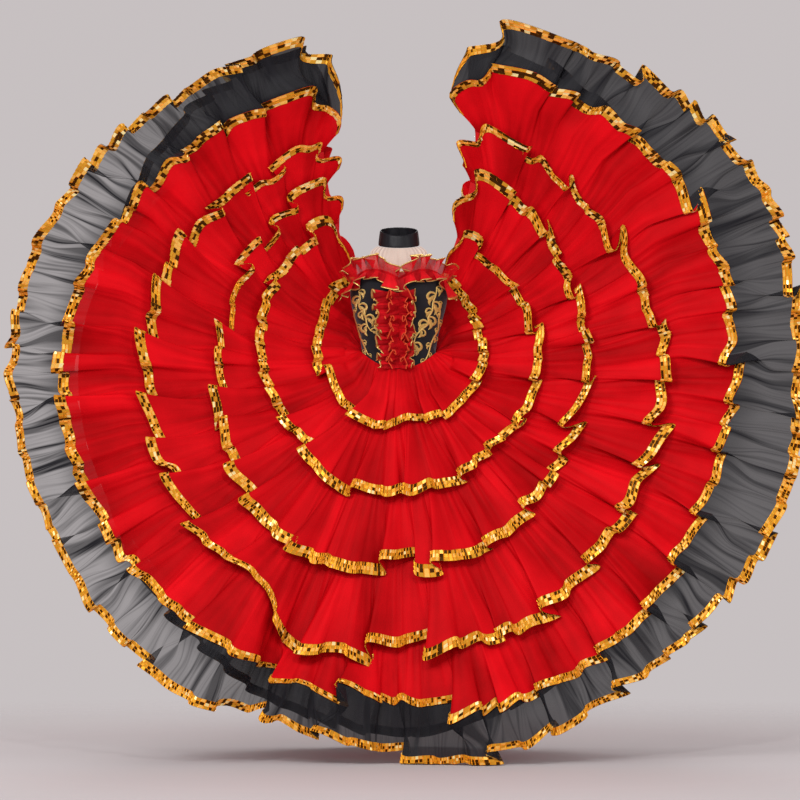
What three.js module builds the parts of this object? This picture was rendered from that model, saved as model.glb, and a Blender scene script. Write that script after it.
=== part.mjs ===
// A flamenco dress whose wide tiered skirt is spread into a fan, as when its two upper corners are lifted.
// Millimetres, +Z up, the front faces -Y, and the origin is the middle of the waist.
// "left" and "right" are the wearer's: left is +X. Angles go round the waist from straight down (0),
// positive towards +X, so the fan's two ribs, where it is lifted, stand near +163 and -163.
import * as THREE from 'three';

const FAN_CENTRE_Z = 28;          // the fan's rings are struck from this height above the waist
const RIB = 163;                  // angle of each rib at the nominal fan
const RIB_ON_WAIST = 150;         // where each rib leaves the waist seam
const WAIST = { width: 105, depth: 85, height: 30, dip: 50 };   // half sizes, and the point in front
const BASE_WALL = 2, TIER_WALL = 1.5, TRIM_WALL = 1.5, VELVET_WALL = 2, BAND_WALL = 2.5;
const SEAM_GAP = 0.3;             // clear space between two pieces that are sewn together
const TRIM_WIDTH = 30;            // sequin braid on every hem
const LAP = 28;                   // how far a hem hangs over the top of the next tier
const BASE_SHORT = 40;            // the satin ends this far above the hem of tier 5
const INNER = 150, MIDDLE = 500, OUTER = 1100;   // radii where the depth tables are read
const WAVE_COLUMNS = 3;           // mesh columns in one ruffle wave

// Sections of the front fan, in degrees and mm: hem radius of each tier and of the flounce,
// depth (y) at the inner, middle and outer radius, and mesh steps from this section to the next.
const FRONT = sections(`
  angle t1  t2  t3  t4  t5   flounce inner middle outer steps
  -163  275 440 555 645 780  940     135   110    35    2
  -145  272 428 525 645 820  960     112   85     0     2
  -120  252 427 510 700 877  1044    76    40     -35   2
  -95   248 408 515 730 958  1100    20    -20    -80   2
  -65   222 392 565 745 982  1112    -52   -90    -170  2
  -42   228 392 615 770 971  1130    -88   -160   -270  1
  -29   236 432 642 775 970  1132    -100  -205   -345  1
  -22   234 425 640 885 972  1090    -104  -185   -265  1
  -11   228 417 635 868 978  1100    -108  -200   -325  1
  0     209 407 600 832 982  1135    -112  -185   -268  1
  11    200 403 620 845 1030 1172    -111  -198   -325  1
  22    225 412 615 862 1038 1150    -106  -178   -272  2
  45    232 390 580 809 1013 1146    -85   -150   -255  2
  65    245 407 548 785 970  1178    -48   -95    -155  2
  90    255 413 555 764 962  1146    10    -30    -95   2
  115   250 400 540 712 958  1146    68    30     -45   2
  140   258 378 566 690 908  1052    106   80     5     2
  163   275 400 560 700 850  965     135   110    35    0`);

// The back, from the rib to straight down behind the legs; both halves are alike.
const BACK = sections(`
  angle t1  t2  t3  t4  t5   flounce inner middle outer steps
  0     290 455 625 800 985  1125    140   250    370   2
  45    262 410 565 725 890  1010    146   236    325   2
  90    235 365 505 640 780  890     152   212    240   2
  135   256 385 530 665 810  925     152   176    140   2
  163   275 415 560 675 815  950     137.6 112.6  37.6  0`);

// How far each tier stands off the satin at its hem, the height of its waves, and its mesh columns
// for each step of the satin.
const TIERS = [
  { name: 'tier_1', hem: 't1', stand: 24, wave: 10, fine: 1, cloth: 'organza' },
  { name: 'tier_2', hem: 't2', stand: 30, wave: 13, fine: 2, cloth: 'organza' },
  { name: 'tier_3', hem: 't3', stand: 30, wave: 13, fine: 2, cloth: 'organza' },
  { name: 'tier_4', hem: 't4', stand: 30, wave: 13, fine: 2, cloth: 'organza' },
  { name: 'tier_5', hem: 't5', stand: 34, wave: 14, fine: 3, cloth: 'organza' },
];
const FLOUNCE = { name: 'flounce', hem: 'flounce', stand: 26, wave: 18, fine: 3, cloth: 'black_organza' };

const MATERIALS = {
  satin: [0xc4040f, 0.35, 0], organza: [0xd8060f, 0.6, 0], black_organza: [0x17151a, 0.6, 0],
  gold_braid: [0xd8a028, 0.3, 0.8], velvet: [0x0c0b0e, 0.9, 0], yoke_mesh: [0xd9bfa8, 0.7, 0],
  black_satin: [0x121116, 0.4, 0], ruffle_organza: [0xd00a16, 0.6, 0],
};

const dress = new THREE.Group();

function sections(text) {
  const [names, ...rows] = text.trim().split('\n').map((line) => line.trim().split(/\s+/));
  return rows.map((row) => Object.fromEntries(names.map((name, i) => [name, Number(row[i])])));
}

// Reads a column between two rows of a table, at a place given in the table's first column.
function read(table, column, place, by = 'angle') {
  let i = 0;
  while (i < table.length - 2 && place > table[i + 1][by]) i++;
  const share = (place - table[i][by]) / (table[i + 1][by] - table[i][by]);
  return THREE.MathUtils.lerp(table[i][column], table[i + 1][column], share);
}

const sin = (degrees) => Math.sin(THREE.MathUtils.degToRad(degrees));
const cos = (degrees) => Math.cos(THREE.MathUtils.degToRad(degrees));

// A ring round the torso: the angle runs from the front (0) to the back (180).
function torso(angle, width, depth, z) {
  return new THREE.Vector3(width * sin(angle), -depth * cos(angle), z);
}

const waistHeight = (angle) => WAIST.height - WAIST.dip * Math.max(cos(angle), 0) ** 2;

// The two halves of the skirt's surface. Each gives the depth of the fan, which way it faces,
// and where each of its lines leaves the waist.
const front = {
  name: 'front', facing: -1, table: FRONT,
  onWaist: (angle) => angle * RIB_ON_WAIST / RIB,
  section: (angle) => [FRONT, angle],
};
const back = {
  name: 'back', facing: 1, table: BACK,
  onWaist: (angle) => 180 - angle * (180 - RIB_ON_WAIST) / RIB,
  section: (angle) => [BACK, Math.abs(angle)],
};

function radius(side, column, angle) {
  const [table, at] = side.section(angle);
  return read(table, column, at);
}

// The ribs stand wider apart near the waist than at the lifted corners.
const RIB_SPREAD = { from: 280, to: 800, low: 151, high: 164 };
function ribAngle(r) {
  const share = THREE.MathUtils.clamp((r - RIB_SPREAD.from) / (RIB_SPREAD.to - RIB_SPREAD.from), 0, 1);
  return THREE.MathUtils.lerp(RIB_SPREAD.low, RIB_SPREAD.high, share);
}

function disc(side, angle, r) {
  const [table, at] = side.section(angle);
  const [a, b, c] = ['inner', 'middle', 'outer'].map((column) => read(table, column, at));
  const lift = (x, y, z) => (r - x) * (r - y) / ((z - x) * (z - y));
  const near = a * lift(MIDDLE, OUTER, INNER) + b * lift(INNER, OUTER, MIDDLE);
  const depth = near + c * lift(INNER, MIDDLE, OUTER);
  const turned = angle * ribAngle(r) / RIB;
  return new THREE.Vector3(r * sin(turned), depth, FAN_CENTRE_Z - r * cos(turned));
}

// A point of the satin: below the inner radius, its lines run straight from the waist seam.
// Behind, tier 1 lies between the bodice and the satin, so the satin's seam stands further out there.
const SEAM_OUT = (VELVET_WALL + BASE_WALL) / 2 + 2 * SEAM_GAP;
const PLY = BASE_WALL + SEAM_GAP;
function satin(side, angle, r) {
  if (r >= INNER) return disc(side, angle, r);
  const turn = side.onWaist(angle);
  const behind = THREE.MathUtils.smoothstep(Math.abs(turn), 55, 95);
  const out = SEAM_OUT + PLY * behind + (side === back ? PLY : 0);
  const seam = torso(turn, WAIST.width + out, WAIST.depth + out, waistHeight(turn));
  return seam.lerp(disc(side, angle, INNER), r / INNER);
}

// Which way the satin faces. Behind, where all its lines leave a short length of the waist seam,
// it faces straight out from the torso there.
function facing(side, angle, r) {
  if (r === 0 && side === back) return torso(side.onWaist(angle), 1, 1, 0);
  const across = satin(side, angle + 3, r).sub(satin(side, angle - 3, r));
  const down = satin(side, angle, r + 12).sub(satin(side, angle, Math.max(r - 12, 0)));
  const normal = across.cross(down).normalize();
  return normal.y * side.facing < 0 ? normal.negate() : normal;
}

// Rows of points, each with the direction of its wall, make one closed sheet.
function sheet(rows, wall, closed = false) {
  const count = rows[0].length, positions = [], faces = [];
  for (const half of [wall / 2, -wall / 2]) {
    for (const { p, n } of rows.flat()) positions.push(...p.clone().addScaledVector(n, half).toArray());
  }
  const at = (layer, row, column) => (layer * rows.length + row) * count + column % count;
  const quad = (a, b, c, d) => faces.push(a, b, c, a, c, d);
  const steps = closed ? count : count - 1, last = rows.length - 1;
  for (let i = 0; !closed && i < last; i++) {
    quad(at(0, i, 0), at(0, i + 1, 0), at(1, i + 1, 0), at(1, i, 0));
    quad(at(1, i, steps), at(1, i + 1, steps), at(0, i + 1, steps), at(0, i, steps));
  }
  for (let j = 0; j < steps; j++) {
    quad(at(1, 0, j), at(1, 0, j + 1), at(0, 0, j + 1), at(0, 0, j));
    quad(at(0, last, j), at(0, last, j + 1), at(1, last, j + 1), at(1, last, j));
  }
  for (let j = 0; j < steps; j++) {
    for (let i = 0; i < last; i++) {
      quad(at(0, i, j), at(0, i, j + 1), at(0, i + 1, j + 1), at(0, i + 1, j));
      quad(at(1, i, j), at(1, i + 1, j), at(1, i + 1, j + 1), at(1, i, j + 1));
    }
  }
  const geometry = new THREE.BufferGeometry();
  geometry.setAttribute('position', new THREE.Float32BufferAttribute(positions, 3));
  geometry.setIndex(faceOut(positions, faces));
  geometry.computeVertexNormals();
  return geometry;
}

function faceOut(positions, faces) {
  const corner = (i) => new THREE.Vector3().fromArray(positions, 3 * i);
  let volume = 0;
  for (let i = 0; i < faces.length; i += 3) {
    volume += corner(faces[i]).dot(corner(faces[i + 1]).cross(corner(faces[i + 2])));
  }
  return volume < 0 ? faces.reverse() : faces;
}

function add(name, geometry, material) {
  const [color, roughness, metalness] = MATERIALS[material];
  const mesh = new THREE.Mesh(geometry, new THREE.MeshStandardMaterial({ color, roughness, metalness }));
  mesh.name = name;
  dress.add(mesh);
}

// Angles of the satin's mesh columns, from the steps in the table.
function columnsOf(side) {
  const half = (table) => table.slice(0, -1).flatMap((row, i) => Array.from({ length: row.steps }, (_, k) => (
    THREE.MathUtils.lerp(row.angle, table[i + 1].angle, k / row.steps))));
  const found = [...half(side.table), RIB];
  return side === front ? found : [...found.slice(1).reverse().map((angle) => -angle), ...found];
}

// The hidden back has fewer and broader waves.
function finer(side, tier) {
  const columns = columnsOf(side), fine = Math.max(1, side === back ? tier.fine - 1 : tier.fine);
  const found = columns.slice(0, -1).flatMap((low, i) => Array.from({ length: fine }, (_, k) => {
    const high = columns[i + 1], share = k / fine;
    return { angle: THREE.MathUtils.lerp(low, high, share), low, high, share };
  }));
  const end = columns.at(-1);
  return [...found, { angle: end, low: end, high: end, share: 0 }];
}

const offset = (p, n, distance) => ({ p: p.clone().addScaledVector(n, distance), n });

// Satin underskirt: waist seam, inner ring, the seam lines of tiers 2 to 5, and its own hem.
function addSatin(side) {
  const seams = ['t1', 't2', 't3', 't4'].map((hem) => (angle) => radius(side, hem, angle) - LAP);
  const lines = [() => 0, () => INNER, ...seams, (angle) => radius(side, 't5', angle) - BASE_SHORT];
  const rows = lines.map((line) => columnsOf(side).map((angle) => (
    { p: satin(side, angle, line(angle)), n: facing(side, angle, line(angle)) })));
  add(`base_${side.name}`, sheet(rows, BASE_WALL), 'satin');
}

// A point on the satin's seam line, straight between the satin's own columns.
function onSeamLine(side, column, line) {
  const ends = [column.low, column.high].map((angle) => (
    { p: satin(side, angle, line(angle)), n: facing(side, angle, line(angle)) }));
  return { p: ends[0].p.lerp(ends[1].p, column.share), n: ends[0].n.lerp(ends[1].n, column.share) };
}

// The wave of a ruffle at one mesh column, from -1 to 1, and how its height wanders round the ring.
function ruffle(index, tier) {
  const wave = Math.cos(2 * Math.PI * (index / WAVE_COLUMNS + 0.12));
  const wander = 0.8 + 0.2 * Math.sin(index * 0.9 + tier.stand);
  return wave * wander;
}

// Behind the bodice, tier 1 lies flatter, so that it clears the torso.
function flatten(side, angle, tier) {
  const behind = THREE.MathUtils.smoothstep(Math.abs(angle), 95, 135);
  return side === front && tier === TIERS[0] ? 1 - 0.45 * behind : 1;
}

// A point of a tier's free part, some way above its hem. Its waves grow over the reach, also across
// the sheet, and the last few degrees of a hem spill past the rib.
const HEM = { reach: 150, play: 7, clear: 3, spill: 5, last: 6 };
function hemPoint(side, tier, column, index, above) {
  const { angle } = column;
  const grown = 1 - above / HEM.reach;
  const wave = grown * ruffle(index, tier);
  const r = radius(side, tier.hem, angle) - above + HEM.play * wave;
  const spill = HEM.spill * grown * Math.max(0, 1 - (RIB - Math.abs(angle)) / HEM.last);
  const p = satin(side, angle + Math.sign(angle) * spill, r);
  const away = (tier.stand * grown + tier.wave * wave) * flatten(side, angle, tier) + HEM.clear;
  return offset(p, facing(side, angle, r), away);
}

// Red tiers: each is a strip gathered into its seam line, and its hem hangs over the next one.
// The first hangs from the waist and stands a little off the satin on its way.
const TIER_1_MIDDLE = 9;
function addTier(side, tier, number) {
  const columns = finer(side, tier);
  const seamLine = number === 0 ? () => 0 : (angle) => radius(side, TIERS[number - 1].hem, angle) - LAP;
  const onSatin = (BASE_WALL + TIER_WALL) / 2 + SEAM_GAP;
  const seam = columns.map((column) => {
    const { p, n } = onSeamLine(side, column, seamLine);
    return offset(p, n, onSatin);
  });
  const middle = number > 0 ? [] : [columns.map(({ angle }) => (
    offset(satin(side, angle, INNER), facing(side, angle, INNER), TIER_1_MIDDLE)))];
  const braid = braidRows(side, tier, columns);
  add(`${tier.name}_${side.name}`, sheet([seam, ...middle, ...braid], TIER_WALL), tier.cloth);
  addTrim(side, number + 1, braid);
  return braid;
}

function braidRows(side, tier, columns) {
  return [TRIM_WIDTH, 0].map((above) => columns.map((column, i) => hemPoint(side, tier, column, i, above)));
}

// Sequin braid: a flat band sewn along a hem.
function addTrim(side, number, braid) {
  const onTier = (TIER_WALL + TRIM_WALL) / 2 + SEAM_GAP;
  const rows = braid.map((row) => row.map(({ p, n }) => offset(p, n, onTier)));
  add(`trim_${number}_${side.name}`, sheet(rows, TRIM_WALL), 'gold_braid');
}

// Black flounce: sewn behind the braid of tier 5, it carries the lowest braid.
function addFlounce(side, above) {
  const columns = finer(side, FLOUNCE);
  const seam = above[0].map(({ p, n }) => offset(p, n, -TIER_WALL - SEAM_GAP));
  const braid = braidRows(side, FLOUNCE, columns);
  add(`flounce_${side.name}`, sheet([seam, ...braid], TIER_WALL), FLOUNCE.cloth);
  addTrim(side, TIERS.length + 1, braid);
}

for (const side of [front, back]) {
  addSatin(side);
  const braids = TIERS.map((tier, number) => addTier(side, tier, number));
  addFlounce(side, braids.at(-1));
}

// Bodice sections: height, half width, and how deep it is in front and behind.
const BODICE = sections(`
  z    width front back
  -60  105   85    85
  0    105   85    85
  40   105   88    85
  100  118   98    88
  160  134   112   95
  200  139   118   98
  240  136   112   98
  280  130   102   96`);
const CUP = { height: 185, tall: 48, at: 30, wide: 17, full: 13 };   // fullness over each side of the front

function bodicePoint(angle, z) {
  const behind = Math.abs(angle) > 90;
  const bell = (x, spread) => Math.exp(-((x / spread) ** 2));
  const cup = CUP.full * bell(z - CUP.height, CUP.tall) * bell(Math.abs(angle) - CUP.at, CUP.wide);
  const depth = read(BODICE, behind ? 'back' : 'front', z, 'z') + cup;
  return torso(angle, read(BODICE, 'width', z, 'z'), depth, z);
}

function bodiceFacing(angle, z) {
  const across = bodicePoint(angle + 2, z).sub(bodicePoint(angle - 2, z));
  const normal = across.cross(bodicePoint(angle, z + 5).sub(bodicePoint(angle, z - 5))).normalize();
  return normal.dot(torso(angle, 1, 1, 0)) < 0 ? normal.negate() : normal;
}

// The neckline is a sweetheart: a dip at the middle of the front and a rise over each side.
const NECKLINE = { dip: 238, rise: 28, over: 70, side: 232 };
function neckline(angle) {
  const turn = Math.abs(angle);
  const rise = NECKLINE.rise * Math.sin(Math.PI * Math.min(turn / NECKLINE.over, 1)) ** 0.8;
  return turn > 90 ? NECKLINE.side : THREE.MathUtils.lerp(NECKLINE.dip, NECKLINE.side, turn / 90) + rise;
}

const BODICE_TUCK = 6;            // the bodice reaches this far below the skirt's seam
const bodiceFoot = (angle) => waistHeight(angle) - BODICE_TUCK;

function addBodicePanel(name, from, to, columns) {
  const heights = [0, 0.17, 0.34, 0.5, 0.66, 0.83, 1];
  const rows = heights.map((share) => Array.from({ length: columns + 1 }, (_, i) => {
    const angle = THREE.MathUtils.lerp(from, to, i / columns);
    const z = THREE.MathUtils.lerp(bodiceFoot(angle), neckline(angle), share);
    return { p: bodicePoint(angle, z), n: bodiceFacing(angle, z) };
  }));
  add(name, sheet(rows, VELVET_WALL), 'velvet');
}

// Velvet bodice: two fronts that meet at the middle, and a back, with a seam down each side.
const SEAM_TURN = 0.12;           // degrees on each side of a seam
addBodicePanel('bodice_front_right', -90 + SEAM_TURN, -SEAM_TURN, 9);
addBodicePanel('bodice_front_left', SEAM_TURN, 90 - SEAM_TURN, 9);
addBodicePanel('bodice_back', 90 + SEAM_TURN, 270 - SEAM_TURN, 14);

// Neck band: an upright ring that narrows a little upwards and is lower in front than at the sides.
const NECK = { width: 58, depth: 54, back: 8, foot: 334, top: 376, dip: 10, narrows: 2, columns: 28 };
function neckPoint(angle, share) {
  const z = THREE.MathUtils.lerp(NECK.foot, NECK.top, share) - NECK.dip * cos(angle);
  const less = NECK.narrows * share;
  return torso(angle, NECK.width - less, NECK.depth - less, z).add(new THREE.Vector3(0, NECK.back, 0));
}
const neckRows = [0, 0.5, 1].map((share) => Array.from({ length: NECK.columns }, (_, i) => {
  const angle = 360 * i / NECK.columns;
  return { p: neckPoint(angle, share), n: torso(angle, 1, 1, 0).normalize() };
}));
add('neck_band', sheet(neckRows, BAND_WALL, true), 'black_satin');

// Yoke: sheer mesh from inside the neckline to the foot of the neck band, with small gathers
// that run down from the band's sides.
const YOKE = { wall: 1.2, columns: 20, tuck: 6, foot: 50, top: 72, full: 7, gather: 2.5, gatherAt: 0.75 };
function yokePoint(i, share) {
  const across = 2 * i / YOKE.columns - 1;
  const low = across * YOKE.foot, high = across * YOKE.top;
  const z = neckline(low) - YOKE.tuck;
  const inset = (VELVET_WALL + YOKE.wall) / 2 + 5 * SEAM_GAP;
  const foot = bodicePoint(low, z).addScaledVector(bodiceFacing(low, z), -inset);
  const top = neckPoint(high, 0).add(new THREE.Vector3(0, 0, -YOKE.wall / 2 - SEAM_GAP));
  const n = torso(low * 0.7 + high * 0.3, 1, 1, 0.6).normalize();
  const arch = Math.sin(Math.PI * share);
  const nearGather = Math.exp(-(((Math.abs(across) - YOKE.gatherAt) / 0.3) ** 2));
  const gather = YOKE.gather * nearGather * (i % 2 ? 1 : -1);
  return offset(foot.lerp(top, share), n, (YOKE.full + gather) * arch);
}
const yokeRows = [0, 0.3, 0.6, 0.85, 1].map((share) => (
  Array.from({ length: YOKE.columns + 1 }, (_, i) => yokePoint(i, share))));
add('yoke', sheet(yokeRows, YOKE.wall), 'yoke_mesh');

const onVelvet = (VELVET_WALL + TIER_WALL) / 2 + SEAM_GAP;
const flutter = (i) => Math.sin(2 * Math.PI * i / 4 + 0.6);   // four mesh columns to a wave

// Neckline ruffles: one stands up from the neckline and one falls over the velvet.
const NECK_RUFFLE = { reach: 82, waves: 7, flutter: 8 };
function addNecklineRuffle(name, below, rise, out) {
  const count = NECK_RUFFLE.waves * 4;
  const rows = [0, 0.5, 1].map((share) => Array.from({ length: count + 1 }, (_, i) => {
    const angle = THREE.MathUtils.lerp(-NECK_RUFFLE.reach, NECK_RUFFLE.reach, i / count);
    const z = neckline(angle) - below, n = bodiceFacing(angle, z);
    const away = onVelvet + Math.max(0, out * share + NECK_RUFFLE.flutter * share * flutter(i));
    const point = offset(bodicePoint(angle, z), n, away);
    point.p.z += rise * share * (0.85 + 0.15 * Math.sin(i * 0.55));
    return point;
  }));
  add(name, sheet(rows, TIER_WALL), 'ruffle_organza');
}
addNecklineRuffle('neckline_ruffle_upper', 5, 46, 22);
addNecklineRuffle('neckline_ruffle_lower', 11, -34, 24);

// Ruffles down the middle of the front: on each side a wide strip lies under a narrow one.
// Each is sewn down along a line beside the middle, and its free edge leans outwards.
const FRONT_RUFFLE = { top: 196, foot: -18, waves: 5, flutter: 6, taper: 0.3 };
function addFrontRuffle(name, sideways, seamX, width, lean) {
  const count = FRONT_RUFFLE.waves * 4;
  const along = new THREE.Vector3(sideways * cos(lean), -sin(lean), 0);
  const n = new THREE.Vector3(-sideways * sin(lean), -cos(lean), 0);
  const away = VELVET_WALL / 2 + 2.2 * SEAM_GAP + TIER_WALL / 2 * cos(lean);
  const rows = [0, 1].map((share) => Array.from({ length: count + 1 }, (_, i) => {
    const z = THREE.MathUtils.lerp(FRONT_RUFFLE.top, FRONT_RUFFLE.foot, i / count);
    const angle = sideways * THREE.MathUtils.radToDeg(Math.asin(seamX / read(BODICE, 'width', z, 'z')));
    const seam = bodicePoint(angle, z).add(new THREE.Vector3(0, -away, 0));
    const reach = width * share * (1 - FRONT_RUFFLE.taper * i / count);
    return offset(seam.addScaledVector(along, reach), n, FRONT_RUFFLE.flutter * share * flutter(i + seamX));
  }));
  add(name, sheet(rows, TIER_WALL), 'ruffle_organza');
}
for (const [word, sideways] of [['right', -1], ['left', 1]]) {
  addFrontRuffle(`front_ruffle_wide_${word}`, sideways, 9, 34, 32);
  addFrontRuffle(`front_ruffle_narrow_${word}`, sideways, 3, 32, 72);
}

export default dress;
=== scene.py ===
import bmesh
import bpy
import math
import numpy as np
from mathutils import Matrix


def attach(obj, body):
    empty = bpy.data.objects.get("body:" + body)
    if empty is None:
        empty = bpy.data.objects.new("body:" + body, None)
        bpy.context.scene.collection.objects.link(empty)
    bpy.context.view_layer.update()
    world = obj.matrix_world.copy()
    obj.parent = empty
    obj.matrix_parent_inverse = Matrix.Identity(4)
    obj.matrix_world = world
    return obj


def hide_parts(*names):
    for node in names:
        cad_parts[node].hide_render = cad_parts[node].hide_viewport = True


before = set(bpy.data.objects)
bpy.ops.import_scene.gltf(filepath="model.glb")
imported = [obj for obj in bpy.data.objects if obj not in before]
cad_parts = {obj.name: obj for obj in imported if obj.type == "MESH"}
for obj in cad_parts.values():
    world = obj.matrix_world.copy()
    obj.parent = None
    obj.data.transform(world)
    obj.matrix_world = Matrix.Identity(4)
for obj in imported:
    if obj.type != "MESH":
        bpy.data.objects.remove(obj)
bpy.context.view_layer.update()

# View, light and floor
# The dress stands on a pale studio floor under soft light, seen straight from the front with a long lens.
# Left and right are as worn: left is +X. Lengths are in metres and angles in degrees.
VIEW_FROM = (0.003, -14.1, -0.108)
HALF_FRAME, FRAME_AT = 1.132, 14.0  # half the width that the view takes in, this far from the lens
STUDIO_GREY, STUDIO_LIGHT = (0.62, 0.575, 0.58, 1), 0.92
FLOOR_Z, FLOOR_RADIUS = -1.124, 3.0
FLOOR_GONE, FLOOR_FADE = 2.9, 1.6   # the floor has faded away at this distance, over this width
OVER_FLOOR = 0.0015

view = bpy.data.objects.new("view", bpy.data.cameras.new("view"))
view.data.angle = 2 * math.atan(HALF_FRAME / FRAME_AT)
view.location = VIEW_FROM
view.rotation_euler = (math.pi / 2, 0, 0)
bpy.context.collection.objects.link(view)
bpy.context.scene.camera = view
bpy.context.scene.view_settings.view_transform = "Standard"


def soft_light(name, place, aim, size, watts):
    lamp = bpy.data.lights.new(name, "AREA")
    lamp.size, lamp.energy = size, watts
    holder = bpy.data.objects.new(name, lamp)
    holder.location = place
    toward = [a - b for a, b in zip(aim, place)]
    across, up = math.hypot(toward[0], toward[1]), toward[2]
    holder.rotation_euler = (math.atan2(across, -up), 0, math.atan2(-toward[0], toward[1]))
    bpy.context.collection.objects.link(holder)


soft_light("key light", (-2.6, -5.2, 2.9), (0, 0, -0.1), 2.2, 175)
soft_light("fill light", (3.6, -4.6, 0.8), (0, 0, -0.2), 2.6, 70)
soft_light("glint light", (0.4, -6.0, 3.4), (0, 0, -0.3), 0.3, 90)
soft_light("back light", (0.0, 5.0, 3.0), (0, 0, 0), 3.0, 90)

world = bpy.data.worlds.new("studio")
world.use_nodes = True
world.node_tree.nodes["Background"].inputs["Color"].default_value = STUDIO_GREY
world.node_tree.nodes["Background"].inputs["Strength"].default_value = STUDIO_LIGHT
bpy.context.scene.world = world


class Thread:
    """A shader socket that takes part in Python sums."""

    def __init__(self, tree, socket):
        self.tree, self.socket = tree, socket

    def work(self, operation, first, second=0.0):
        node = self.tree.nodes.new("ShaderNodeMath")
        node.operation = operation
        for end, value in zip(node.inputs, (first, second)):
            plug(self.tree, end, value)
        return Thread(self.tree, node.outputs[0])

    def __add__(self, other): return self.work("ADD", self, other)
    def __sub__(self, other): return self.work("SUBTRACT", self, other)
    def __rsub__(self, other): return self.work("SUBTRACT", other, self)
    def __mul__(self, other): return self.work("MULTIPLY", self, other)
    def __truediv__(self, other): return self.work("DIVIDE", self, other)
    def __pow__(self, other): return self.work("POWER", self, other)
    __radd__, __rmul__ = __add__, __mul__

    def held(self, low=0.0, high=1.0):
        return self.work("MINIMUM", self.work("MAXIMUM", self, low), high)


def plug(tree, end, value):
    if isinstance(value, Thread):
        tree.links.new(value.socket, end)
    else:
        end.default_value = value


class Finish:
    """A material: its shader's own constants, and one way to add any other node."""

    def __init__(self, name, constants):
        self.material = bpy.data.materials.new(name)
        self.material.use_nodes = True
        self.tree = self.material.node_tree
        self.shader = self.tree.nodes["Principled BSDF"]
        for socket, value in constants.items():
            self.shader.inputs[socket].default_value = value

    def node(self, kind, settings, sockets, out=0):
        made = self.tree.nodes.new("ShaderNode" + kind)
        for key, value in settings.items():
            setattr(made, key, value)
        for key, value in sockets.items():
            plug(self.tree, made.inputs[key], value)
        return Thread(self.tree, made.outputs[out])

    def feed(self, socket, value):
        plug(self.tree, self.shader.inputs[socket], value)

    def mixed(self, share, low, high):
        return self.node("Mix", {"data_type": "RGBA"}, {0: share, 6: low, 7: high}, out=2)

    def kept(self, name):
        return self.node("Attribute", {"attribute_name": name}, {}, out=2)

    def on_cloth(self, across, along):
        """The cloth's own coordinates, in metres along its width and height, scaled."""
        flat = self.node("UVMap", {"uv_map": "cloth"}, {})
        return self.node("Mapping", {}, {"Vector": flat, "Scale": (across, along, 1.0)})

    def noise(self, vector, scale, detail=2.0):
        return self.node("TexNoise", {}, {"Vector": vector, "Scale": scale, "Detail": detail})

    def raised(self, height, distance, strength=1.0):
        bump = self.node("Bump", {}, {"Height": height, "Distance": distance, "Strength": strength})
        self.feed("Normal", bump)


floor_finish = Finish("studio floor", {"Base Color": (0.56, 0.52, 0.525, 1), "Roughness": 0.8})
floor_place = floor_finish.node("TexCoord", {}, {}, out=3)
from_middle = floor_finish.node("VectorMath", {"operation": "LENGTH"}, {0: floor_place}, out=1)
floor_finish.feed("Alpha", ((FLOOR_GONE - from_middle) / FLOOR_FADE).held())

floor_mesh = bmesh.new()
bmesh.ops.create_circle(floor_mesh, cap_ends=True, segments=96, radius=FLOOR_RADIUS)
floor_data = bpy.data.meshes.new("floor")
floor_mesh.to_mesh(floor_data)
floor_mesh.free()
floor = bpy.data.objects.new("floor", floor_data)
floor.location.z = FLOOR_Z
floor_data.materials.append(floor_finish.material)
bpy.context.collection.objects.link(floor)

# Satin underskirt, front and back
# The base of the skirt: red polyester satin cut in gores, sewn to the bodice at the waist. Its two upper
# corners are lifted, so that it spreads into a fan in front of the legs and behind the torso.
RIB = 163                           # the fan runs from -RIB to RIB, with 0 straight down
RIB_ON_WAIST = 150
RIB_NEAR, RIB_MORE = 151, 13        # the ribs lie closer together near the waist, and spread
RIB_FROM, RIB_OVER = 0.28, 0.52     # from this distance on, over this distance
FAN_CENTRE_Z = 0.028
WAIST_WIDTH, WAIST_DEPTH, WAIST_HEIGHT, WAIST_DIP = 0.105, 0.085, 0.030, 0.050
SEAM_OUT, PLY = 0.0026, 0.0023
PLY_TURNS = 55, 95                  # between these turns round the waist a second ply comes in
INNER, MIDDLE, OUTER = 0.150, 0.500, 1.100
SATIN_SHORT = 0.032                 # the satin ends this far above the hem of the fifth tier
SATIN_SHORTER = 0.030               # and this much more on the right,
SHORTER_FROM = 35, 48               # which comes in between these angles
SATIN_WIDE, SATIN_LONG = 5.2, 0.93
FOLD_DEEP, FOLD_WIDE = 0.005, 0.42
FOLD_FULL, FOLD_STOPS = 0.9, 14     # the folds are full at this distance, and stop this near a rib
LAP = 0.028                         # a tier covers the top of the next by this much


def table(text, mirrored=False):
    """Reads columns in millimetres by angle. A mirrored table states one half only."""
    names, *rows = [line.split() for line in text.strip().splitlines()]
    values = np.array(rows, float)
    values[:, 1:] *= 0.001
    if mirrored:
        other = values[:0:-1].copy()
        other[:, 0] *= -1
        values = np.vstack([other, values])
    return {name: values[:, i] for i, name in enumerate(names)}


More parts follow.
